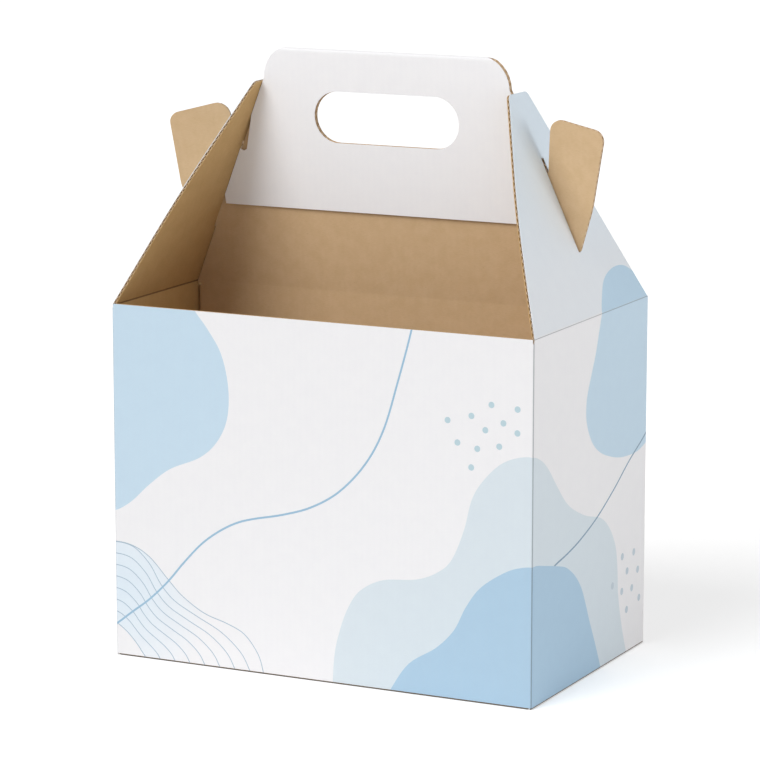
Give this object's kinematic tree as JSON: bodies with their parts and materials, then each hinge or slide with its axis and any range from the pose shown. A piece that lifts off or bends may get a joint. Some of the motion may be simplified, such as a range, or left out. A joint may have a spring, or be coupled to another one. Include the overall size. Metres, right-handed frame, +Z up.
{
  "type": "gable box",
  "caption": "Open-topped gable carrier of white-lined kraft board, with a centre handle divider whose ears lock through the leaning gable flaps.",
  "frame": {"origin": "centre of the base, on the surface that the box stands on", "axes": "+Z up, -Y towards the front wall, +X towards the right side wall; the handle runs along X"},
  "size_m": [0.23, 0.135, 0.291],
  "materials": {
    "printed_board": "matt white lining with pale blue print",
    "kraft_board": "matt uncoated kraft"
  },
  "bodies": {
    "root": {"carton": "printed_board", "handle_divider": "kraft_board"}
  },
  "joints": []
}
